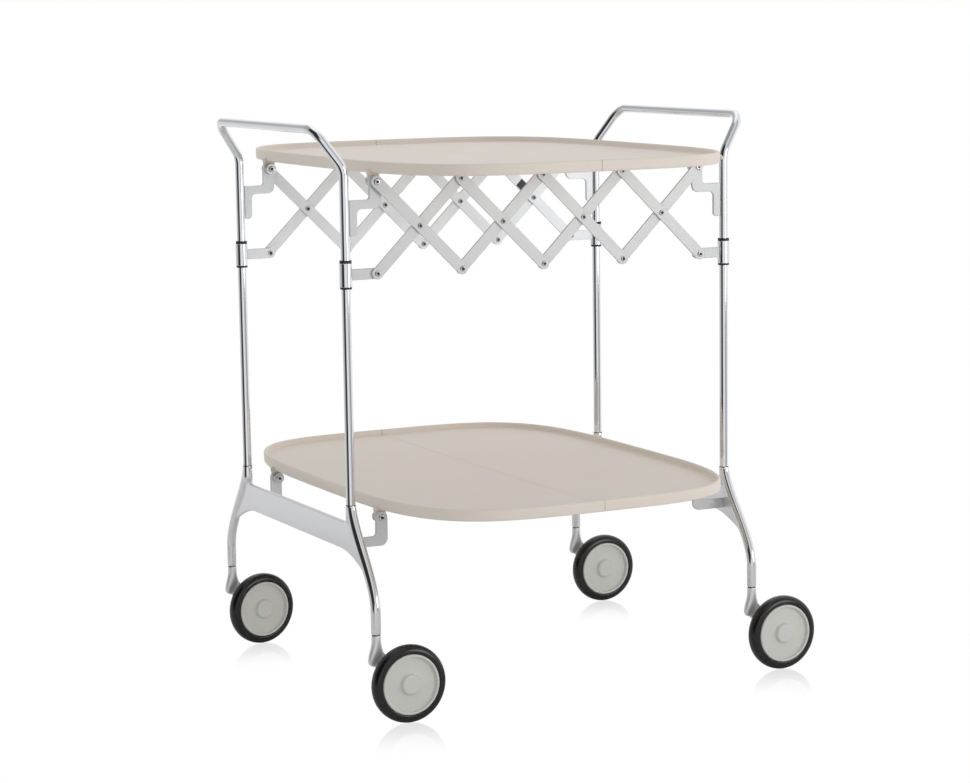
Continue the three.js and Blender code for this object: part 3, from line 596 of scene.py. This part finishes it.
for end in ("left", "right"):
    for row in ("front", "back"):
        tag = row + "_" + end
        frame_body = "frame_" + end
        collar_body = "collar_" + tag
        build("bracket_plate_" + tag, [corner(plate(s_line, -HALF_THICK, HALF_THICK), row, end, UP_Z)], satin,
              frame_body, "satin", "bracket_" + tag)
        layer = layer_of(row, end, "top")
        face = LAYERS[layer][1]
        pins = [head(PIVOT_IN, UP_Z, face + 0.0003, 0.0042, 0.0016),
                head(PIVOT_IN, UP_Z, PIN_FOOT, 0.0042, 0.0016, -1),
                shank(PIVOT_IN, UP_Z, PIN_FOOT + 0.0003, face + 0.0006)]
        if layer == "outer":
            pins.append(shank(PIVOT_IN, UP_Z, 0.0018, LAYERS["outer"][0] - 0.0001, 0.0038))
        pins += [head(PIVOT_IN, LOW_Z, HALF_THICK, 0.0042, 0.0018),
                 head(PIVOT_IN, LOW_Z, PIN_FOOT, 0.0042, 0.0016, -1),
                 shank(PIVOT_IN, LOW_Z, PIN_FOOT + 0.0003, 0.0010)]
        build("end_pins_" + tag, [corner(q, row, end) for q in pins], steel, frame_body, "steel")
        # painted shade: black discs in the rivet hollows
        hollow_shade_discs = [hollow_shade_disc(PIVOT_IN, UP_Z, face + 0.0003), hollow_shade_disc(PIVOT_IN, UP_Z, PIN_FOOT, -1),
                hollow_shade_disc(PIVOT_IN, LOW_Z, HALF_THICK), hollow_shade_disc(PIVOT_IN, LOW_Z, PIN_FOOT, -1)]
        build("end_pin_hollow_shade_" + tag, [corner(q, row, end) for q in hollow_shade_discs], black, frame_body, "bush")
        build("hook_plate_" + tag, [corner(plate(l_line, -HALF_THICK, HALF_THICK), row, end, LOW_Z)], satin,
              frame_body, "satin", "hook_" + tag)

        lat = LATTICE_Z["low"]
        build("collar_arm_" + tag, [corner(plate(arm_line, -HALF_THICK, HALF_THICK), row, end, lat)], satin,
              collar_body, "satin", "collar_" + tag)
        build("collar_sleeve_" + tag, [corner(lathe(sleeve, (0, 0, lat), "Z", 56), row, end)], chrome,
              collar_body, "chrome")
        layer = layer_of(row, end, "low")
        face = LAYERS[layer][1]
        pins = [head(PIVOT_IN, lat, face + 0.0003), head(PIVOT_IN, lat, -HALF_THICK, 0.0034, 0.0013, -1),
                shank(PIVOT_IN, lat, 0.0, face + 0.0006)]
        if layer == "outer":
            pins.append(shank(PIVOT_IN, lat, 0.0018, LAYERS["outer"][0] - 0.0001, 0.0038))
        build("collar_pin_" + tag, [corner(q, row, end) for q in pins], steel, collar_body, "steel")
        # painted shade: black discs in the rivet hollows
        hollow_shade_discs = [hollow_shade_disc(PIVOT_IN, lat, face + 0.0003), hollow_shade_disc(PIVOT_IN, lat, -HALF_THICK, -1)]
        build("collar_pin_hollow_shade_" + tag, [corner(q, row, end) for q in hollow_shade_discs], black, collar_body, "bush")
        build("post_seal_" + tag, [corner(lathe(seal, (0, 0, 0), "Z", 40), row, end)], black,
              frame_body, "bush")
        build("collar_bush_" + tag, [corner(lathe(liner, (0, 0, lat), "Z", 48), row, end)], black,
              collar_body, "bush", "bush_" + tag)


# ---------------------------------------------------------------- scissor links
# Sixteen flat steel bars with round ends, painted like the brackets, cross in two layers on each long
# side. Tubular rivets join them at their middles and ends, so the two frames stay square as they close up.
CELL = 2 * (POST_X - PIVOT_IN) / 4
LENGTH = math.hypot(CELL, DROP)
TILT = math.atan2(DROP, CELL)
LINK_R = 0.007
RIVET_R = 0.0034
RIVET_FOOT = 0.0019


def along_link(shell, kind, number, row, end):
    """A shell drawn along a link from its first pivot, tilted to the link's slope and put at its place."""
    points, sides, caps = shell
    slope = -TILT if kind == "top" else TILT
    c, s = math.cos(slope), math.sin(slope)
    x, z = points[:, 0], points[:, 2]
    foot = PIVOT_IN + CELL * (number - 1)
    points = np.stack([foot + x * c - z * s, points[:, 1], LATTICE_Z[kind] + x * s + z * c], 1)
    return corner((points, sides, caps), row, end)


bar = arc(LENGTH, 0, LINK_R, -90, 90, 26) + arc(0, 0, LINK_R, 90, 270, 26)
for end in ("left", "right"):
    for row in ("front", "back"):
        for kind in ("top", "low"):
            layer = layer_of(row, end, kind)
            low, high = LAYERS[layer]
            for number in (1, 2):
                place = (kind, number, row, end)
                tag = f"{kind}{number}_{row}_{end}"
                body = "link_" + tag
                build("bar_" + tag, [along_link(plate(bar, -high, -low, 0.0004), *place)], satin,
                      body, "satin", body)
                # the black discs in the rivet hollows are painted shade
                rivets, hollow_shade_discs = [], []
                if layer == "outer":
                    for x in (LENGTH / 2, LENGTH) if number == 1 else (0.0, LENGTH / 2):
                        rivets += [head(x, 0, high, RIVET_R), shank(x, 0, 0.0020, high),
                                   head(x, 0, RIVET_FOOT, RIVET_R, 0.0013, -1)]
                        hollow_shade_discs += [hollow_shade_disc(x, 0, high), hollow_shade_disc(x, 0, RIVET_FOOT, -1)]
                    if number == 2:
                        rivets.append(head(LENGTH, 0, high, RIVET_R))
                        hollow_shade_discs.append(hollow_shade_disc(LENGTH, 0, high))
                elif number == 2:
                    rivets = [shank(LENGTH, 0, 0.0020, low, 0.0028),
                              head(LENGTH, 0, RIVET_FOOT, RIVET_R, 0.0013, -1)]
                    hollow_shade_discs = [hollow_shade_disc(LENGTH, 0, RIVET_FOOT, -1)]
                if rivets:
                    build("rivets_" + tag, [along_link(q, *place) for q in rivets], steel, body, "steel")
                    build("rivet_hollow_shade_" + tag, [along_link(q, *place) for q in hollow_shade_discs], black, body, "bush")

# a thin black patch stands on the inboard face of one link
patch = mm((92.5, -6.0), (108.5, -6.0), (108.5, 6.0), (92.5, 6.0))
patch_face = -LAYERS[layer_of("back", "right", "low")][0] + 0.0003
patch_shell = plate(patch, patch_face - 0.0004, patch_face, 0.0001)
build("link_patch_back_right", [along_link(patch_shell, "low", 1, "back", "right")], black,
      "link_low1_back_right", "bush")


# ---------------------------------------------------------------- trays
# Two rounded trays moulded in a warm sand plastic, each in two halves that meet at a hinged seam across
# the middle. A raised rim runs all round; lugs under the floor hang on the pins of brackets and hooks.
HALF_X = POST_X - PIVOT_IN + 0.0083
HALF_Y = 0.318
POWER = 3.9
SEAM = 0.00030
UNDERSIDE = 0.010
RIB_TOP = 0.0045
RIB_WIDE = 0.0025
RIB_EDGE = 0.0005
LUG_R = 0.0065
BOSS_LONG = 0.0075


def half_outline(stations):
    """Evenly spaced points, and outward normals, along the half with x < 0 of |x/a|^n + |y/b|^n = 1."""
    angle = np.linspace(-np.pi / 2, np.pi / 2, 20001)
    c, s = np.cos(angle), np.sin(angle)
    line = np.stack([-HALF_X * np.abs(c) ** (2 / POWER), HALF_Y * np.sign(s) * np.abs(s) ** (2 / POWER)], 1)
    line[[0, -1], 0] = 0
    length = np.concatenate([[0], np.cumsum(np.linalg.norm(np.diff(line, axis=0), axis=1))])
    even = np.linspace(0, length[-1], stations)
    points = np.stack([np.interp(even, length, line[:, k]) for k in (0, 1)], 1)
    out = np.stack([-(np.abs(points[:, 0]) / HALF_X) ** (POWER - 1) / HALF_X,
                    np.sign(points[:, 1]) * (np.abs(points[:, 1]) / HALF_Y) ** (POWER - 1) / HALF_Y], 1)
    return points, out / np.linalg.norm(out, axis=1)[:, None]


def tray_half(pivot_z):
    """A moulded half tray, with the same section at every station of the outline.

    The section, drawn as (inset from the edge, height), goes from the middle of the floor over the rim and
    back under the floor. Points that coincide where the outline meets the seam are merged into one.
    """
    points, out = half_outline(241)
    section = mm(
        (7.2, 17.0), (6.6, 17.1), (6.0, 17.45), (5.6, 17.9), (5.35, 18.5), (5.25, 19.2), (5.0, 21.6),
        (4.9, 22.4), (4.6, 23.1), (4.1, 23.6), (3.4, 23.92), (2.6, 24.0), (1.8, 23.85), (1.1, 23.45),
        (0.55, 22.9), (0.2, 22.2), (0.04, 21.4), (0.0, 20.4), (0.03, 18.0), (0.10, 14.5), (0.18, 12.0),
        (0.35, 11.1), (0.8, 10.4), (1.4, 10.05), (2.1, 10.0), (2.7, 10.1), (3.0, 10.5), (3.05, 11.2),
        (3.2, 13.0), (3.5, 13.7), (4.2, 14.0),
    )
    shares = np.array([0, 0.12, 0.25, 0.4, 0.55, 0.7, 0.82, 0.92, 0.97])
    (top_in, top_z), (under_in, under_z) = section[0], section[-1]
    height = np.ones(len(points))
    rows = [np.column_stack([(points - out * top_in) * f, top_z * height]) for f in shares]
    rows += [np.column_stack([points - out * d, h * height]) for d, h in section]
    rows += [np.column_stack([(points - out * under_in) * f, under_z * height]) for f in shares[::-1]]
    sheet = np.array(rows).transpose(1, 0, 2)
    sheet[:, :, 0] = np.minimum(sheet[:, :, 0], -SEAM)
    flat, sides, caps = grid(sheet, wrap_v=True, caps=True)
    flat[:, 2] += pivot_z
    _, first, same = np.unique(np.round(flat, 7), axis=0, return_index=True, return_inverse=True)
    same = same.reshape(-1).tolist()

    def merged(face):
        return tuple(dict.fromkeys(same[i] for i in face))

    sides = [f for f in map(merged, sides) if len(f) > 2]
    return flat[first], sides, [merged(c) for c in caps]


sand = material("sand_plastic", (0.800, 0.724, 0.643), 0.46, coat=0.0, Colour_Drift=0.035, Drift_Scale=7.0,
                Roughness_Drift=0.07, Grain_Scale=1500.0, Grain_Strength=0.35, Grain_Depth=0.00025)
bright = material("hinge_steel", (0.62, 0.62, 0.64), 0.28, metal=1.0, Colour_Drift=0.05, Roughness_Drift=0.10,
                  Grain_Scale=500.0, Grain_Stretch=(1, 0.1, 1), Grain_Strength=0.15, Grain_Depth=0.0002)
hang = POST_X - PIVOT_IN
lug_plane = POST_Y - 0.0023
rib_end = HALF_X - 0.009
flank_stops = [-HALF_Y + 0.004, -0.2003, -0.1797, -0.0003, 0.0203, 0.1997, 0.2203, HALF_Y - 0.004]
knuckle = mm((1.8, -20.0), (3.6, -20.0), (4.0, -19.6), (4.0, -0.7), (3.6, -0.3), (1.8, -0.3))
seam_rod = mm((0, -222), (1.2, -222), (1.5, -221.7), (1.5, 221.7), (1.2, 222), (0, 222))
strip = mm((-317.3, 10.9), (-313.8, 10.9), (-313.8, 14.3), (313.8, 14.3), (313.8, 10.9), (317.3, 10.9),
           (317.3, 21.8), (315.4, 23.4), (313.6, 22.8), (312.8, 18.0), (311.2, 16.5), (-311.2, 16.5),
           (-312.8, 18.0), (-313.6, 22.8), (-315.4, 23.4), (-317.3, 21.8))
for level, pivot_z in (("upper", UP_Z), ("lower", LOW_Z)):
    low = pivot_z + UNDERSIDE
    top = low + RIB_TOP
    for end in ("left", "right"):
        body = f"tray_{level}_{end}"
        shells, bosses = [turned(tray_half(pivot_z), end)], []
        for side in (-1, 1):
            y = lug_plane - RIB_WIDE if side > 0 else -lug_plane
            rib = [(-rib_end, low + 0.0006), (-0.0012, low + 0.0006), (-0.0012, top), (-rib_end, top)]
            shells.append(turned(plate(rib, y, y + RIB_WIDE, RIB_EDGE), end))
            lug = ([(-hang - 0.009, low + 0.0043)] + arc(-hang, pivot_z, LUG_R, 180, 360, 26)
                   + [(-hang + 0.009, low + 0.0043)])
            shells.append(turned(plate(lug, y, y + RIB_WIDE, RIB_EDGE), end))
            near, far = (y, y - BOSS_LONG) if side > 0 else (y + RIB_WIDE, y + RIB_WIDE + BOSS_LONG)
            soft = (far - near) * 0.05
            boss = [(0.0026, near), (0.0064, near), (0.0067, near + soft), (0.0067, far - soft),
                    (0.0063, far), (0.0026, far)]
            bosses.append(turned(lathe(boss, (-hang, 0, pivot_z), "Y", 48), end))
        for x in (-0.055, -0.110, -0.165):
            rib = [(x - 0.001, low + 0.0012), (x + 0.001, low + 0.0012), (x + 0.001, top), (x - 0.001, top)]
            reach = HALF_Y * (1 - (-x / HALF_X) ** POWER) ** (1 / POWER) - 0.004
            shells.append(turned(plate(rib, -reach, reach, RIB_EDGE), end))
        flank = ([(-0.00315, low + 0.0002), (-0.0021, low + 0.0002)] + arc(0, low, 0.0021, 174, 96, 8)
                 + [(-SEAM, low + 0.0043), (-0.00315, low + 0.0043)])
        for start, stop in zip(flank_stops[::2], flank_stops[1::2]):
            shells.append(turned(plate(flank, start, stop, 0.0003), end))
        for y in (-0.200, 0.0, 0.200):
            shells.append(turned(lathe(knuckle, (0, y, low), "Y", 40), end))
        tray = build(f"tray_{level}_half_{end}", shells, sand, body, "tray", body, sharp=45)
        soften = tray.modifiers.new("seam_edge", "BEVEL")
        soften.width = 0.0008
        soften.segments = 2
        soften.limit_method = "ANGLE"
        soften.angle_limit = math.radians(60)
        build(f"tray_{level}_bosses_{end}", bosses, bright, body, "steel")
    points, sides, caps = plate(strip, -0.00045, 0.00020, 0.0001, 2)
    points = np.stack([points[:, 1], points[:, 0], points[:, 2] + pivot_z], 1)
    build("seam_strip_" + level, [turned((points, sides, caps), "left")], black, f"tray_{level}_left", "bush")
    build("hinge_rod_" + level, [turned(lathe(seam_rod, (0, 0, low), "Y", 24), "left")], bright,
          f"tray_{level}_left", "steel", "seam_rod_" + level)


# ---------------------------------------------------------------- casters
# Each leg ends in a polished cast arm that turns under it on a stem, widening like a fishtail and
# reaching down behind a grey plastic wheel with a raised centre boss and a glossy rounded rubber tyre.
TRAIL = 0.0314
ASIDE = 0.0204
WHEEL_R = 0.0468
REST_SWIVEL = {("back", "left"): 8.5}
AXLE = (TRAIL, 0, WHEEL_R)
WHEEL_CENTRE = (TRAIL, -ASIDE, WHEEL_R)


def at_caster(shell, row, end):
    """A shell drawn about the swivel axis with the floor at zero height, put under its leg."""
    points, sides, caps = shell
    x = -POST_X if end == "left" else POST_X
    y = (POST_Y + LEG_OUT) * (-1 if row == "front" else 1)
    swivel = math.radians(REST_SWIVEL.get((row, end), 0))
    c, s = math.cos(swivel), math.sin(swivel)
    return np.asarray(points) @ np.array([(c, s, 0), (-s, c, 0), (0, 0, 1)]) + (x + SHIFT, y, 0), sides, caps


def fishtail():
    """The arm's bell: stacked superellipses |x/w|^(2/p) + |y/d|^(2/p) = 1, round above and squarer below."""
    z, wide, deep, middle = np.transpose([
        (104.0, 5.1, 5.1, 0), (103.6, 5.4, 5.4, 0), (103.0, 5.5, 5.5, 0), (98, 5.6, 5.5, 0),
        (94, 6.0, 5.4, 0), (90, 6.8, 5.2, 0), (86, 7.9, 5.0, 0), (82, 9.1, 4.8, 0), (78, 10.1, 4.6, 0),
        (75, 10.6, 4.5, 0),
        (72.5, 10.6, 4.4, 0.1), (70.5, 10.1, 4.2, 0.3), (69, 9.2, 3.9, 0.6), (67.8, 7.8, 3.4, 1.0),
        (67.0, 6.0, 2.7, 1.4), (66.5, 3.8, 1.8, 1.7), (66.2, 1.0, 0.5, 1.9),
    ]) / 1000
    fine = [np.linspace(a, b, 4, endpoint=False) for a, b in zip(z, z[1:])]
    fine = np.concatenate(fine + [z[-1:]])
    wide, deep, middle = (np.interp(-fine, -z, v)[:, None] for v in (wide, deep, middle))
    angle = np.linspace(0, 2 * np.pi, 56, endpoint=False)
    c, s = np.cos(angle), np.sin(angle)
    power = np.interp(-fine, [-0.104, -0.094, -0.078, -0.066], [1.0, 1.0, 0.72, 0.8])[:, None]
    bell = np.stack([middle + wide * np.sign(c) * np.abs(c) ** power, deep * np.sign(s) * np.abs(s) ** power,
                     fine[:, None] + 0 * c], -1)
    return grid(bell, wrap_v=True, caps=True)


grey = material("wheel_grey", (0.650, 0.657, 0.620), 0.42, coat=0.15, Colour_Drift=0.03, Drift_Scale=30.0,
                Roughness_Drift=0.08, Grain_Scale=1800.0, Grain_Strength=0.20, Grain_Depth=0.0002)
rubber = material("tyre_rubber", (0.005, 0.005, 0.0053), 0.22, coat=0.0, Colour_Drift=0.15, Drift_Scale=60.0,
                  Roughness_Drift=0.16, Grain_Scale=420.0, Grain_Strength=0.12, Grain_Depth=0.0003)
fork_metal = material("caster_metal", (0.80, 0.805, 0.82), 0.32, metal=0.55, coat=0.15, Colour_Drift=0.03,
                      Roughness_Drift=0.08, Grain_Scale=900.0, Grain_Strength=0.06, Grain_Depth=0.0002)
strut = (mm((-3.5, 67.5), (23.0, 41.5)) + arc(TRAIL, WHEEL_R, 0.0092, 212, 410, 28)
         + mm((15.0, 74.5), (8.5, 83.0)))
end_boss = mm((0, -6.2), (6.2, -6.2), (7.0, -5.6), (7.8, -4.0), (7.8, 4.4), (7.0, 5.0), (0, 5.0))
stem = mm((0, 103.5), (2.8, 103.5), (2.8, 117.4), (2.4, 117.8), (0, 117.8))
washer = mm((3.0, 103.95), (4.9, 103.95), (5.2, 104.05), (5.2, 104.45), (3.0, 104.45))
pin = mm((0, -26.8), (3.0, -26.8), (3.0, 5.0), (5.2, 5.1), (5.2, 5.6), (4.6, 6.4), (3.4, 6.9), (1.8, 7.0),
         (1.6, 6.4), (0, 6.4))
disc = mm((0, -10.0), (9.8, -9.95), (10.8, -9.75), (11.5, -9.2), (12.0, -8.3), (12.4, -7.3), (12.9, -6.4),
          (13.6, -5.8), (14.6, -5.55), (22, -5.45), (31.2, -5.5), (32.0, -5.5), (32.5, -5.8), (32.8, -6.6),
          (33.0, -8.2), (33.4, -9.3), (34.2, -9.75), (35.2, -9.7), (36.0, -9.1), (36.5, -7.6), (36.5, 7.6),
          (36.0, 8.3), (35.0, 8.5), (33.9, 8.2), (33.4, 7.0), (33.0, 4.6), (32.0, 4.0), (14.5, 4.0),
          (13.2, 4.6), (12.6, 8.2), (11.9, 9.0), (3.4, 9.0), (3.4, -6.6), (0, -6.6))
# the tread bulges as a superellipse from the rim's seat out to the wheel's radius
turn = np.radians(np.linspace(-90, 90, 33))
crown = [(37.6 + 9.2 * abs(math.cos(a)) ** 0.8, 9.0 * math.copysign(abs(math.sin(a)) ** 0.8, a))
         for a in turn]
tread = mm((36.8, -8.2), (37.0, -8.7), *crown, (37.0, 8.7), (36.8, 8.2))
for end in ("left", "right"):
    for row in ("front", "back"):
        tag = row + "_" + end
        arm = [fishtail(), plate(strut, -0.0037, 0.0037, 0.0022, 6), lathe(end_boss, AXLE, "Y", 44),
               lathe(stem, (0, 0, 0), "Z", 32)]
        build("caster_fork_" + tag, [at_caster(a, row, end) for a in arm], fork_metal,
              "caster_" + tag, "casting", "caster_arm_" + tag)
        build("swivel_washer_" + tag, [at_caster(lathe(washer, (0, 0, 0), "Z", 40), row, end)], black,
              "caster_" + tag, "bush")
        build("axle_pin_" + tag, [at_caster(lathe(pin, AXLE, "Y", 40), row, end)], steel,
              "caster_" + tag, "steel", "caster_axle_" + tag)
        build("wheel_disc_" + tag, [at_caster(lathe(disc, WHEEL_CENTRE, "Y", 96), row, end)], grey,
              "wheel_" + tag, "hub", "wheel_hub_" + tag)
        build("wheel_tyre_round_" + tag, [at_caster(lathe(tread, WHEEL_CENTRE, "Y", 120), row, end)], rubber,
              "wheel_" + tag, "tyre", "wheel_tyre_" + tag)


low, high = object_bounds()
